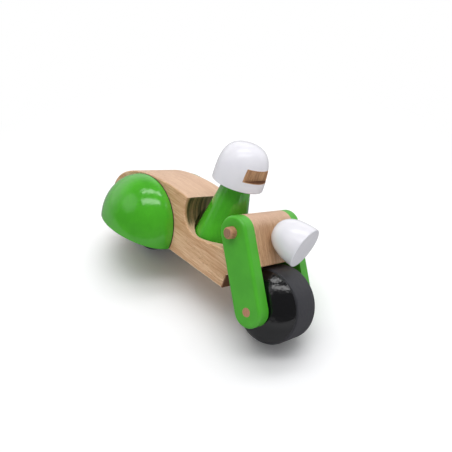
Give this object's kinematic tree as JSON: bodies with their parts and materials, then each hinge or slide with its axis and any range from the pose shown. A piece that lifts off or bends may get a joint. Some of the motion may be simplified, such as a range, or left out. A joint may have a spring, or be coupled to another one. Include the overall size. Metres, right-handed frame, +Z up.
{
  "type": "wooden toy motor scooter with a peg rider",
  "caption": "Wooden toy motor scooter at rest on its side fender: block body, turned wheels, dowel handlebar, round headlight and a lift-out peg rider in a helmet.",
  "frame": {"origin": "on the floor, under the middle of the part's box as it rests", "axes": "-Y is forward along the scooter, +X is towards its left, low side and +Z is up; the toy is tipped 27.0 degrees onto its left fender"},
  "size_m": [0.0944, 0.181, 0.1057],
  "materials": {
    "beech": "satin, clear, pale beech",
    "bare_wood": "matt, bare",
    "dowel_wood": "matt, sawn end grain",
    "green_paint": "gloss paint over wood",
    "white_paint": "gloss paint over wood",
    "black_paint": "gloss paint over wood"
  },
  "bodies": {
    "chassis": {"body": "beech", "fender_left": "green_paint", "fender_right": "green_paint", "rear_axle": "dowel_wood", "head_block": "beech", "fork_arm_left": "green_paint", "fork_arm_right": "green_paint", "handlebar": "dowel_wood", "headlight": "white_paint", "front_axle": "dowel_wood"},
    "front_wheel_body": {"front_wheel": "black_paint"},
    "rear_wheel_body": {"rear_wheel": "black_paint"},
    "rider": {"rider_body": "green_paint", "rider_face": "bare_wood", "helmet": "white_paint"}
  },
  "joints": [
    {"name": "front_wheel_spin", "type": "hinge", "parent": "chassis", "child": "front_wheel_body", "pos_m": [-0.00308, -0.0655, 0.02647], "axis": [0.8912, 0, -0.4536], "continuous": true},
    {"name": "rear_wheel_spin", "type": "hinge", "parent": "chassis", "child": "rear_wheel_body", "pos_m": [-0.00308, 0.055, 0.02647], "axis": [0.8912, 0, -0.4536], "continuous": true},
    {"name": "rider_lift", "type": "slide", "parent": "chassis", "child": "rider", "axis": [0.4532, 0.0436, 0.8904], "range_m": [0, 0.012]}
  ]
}
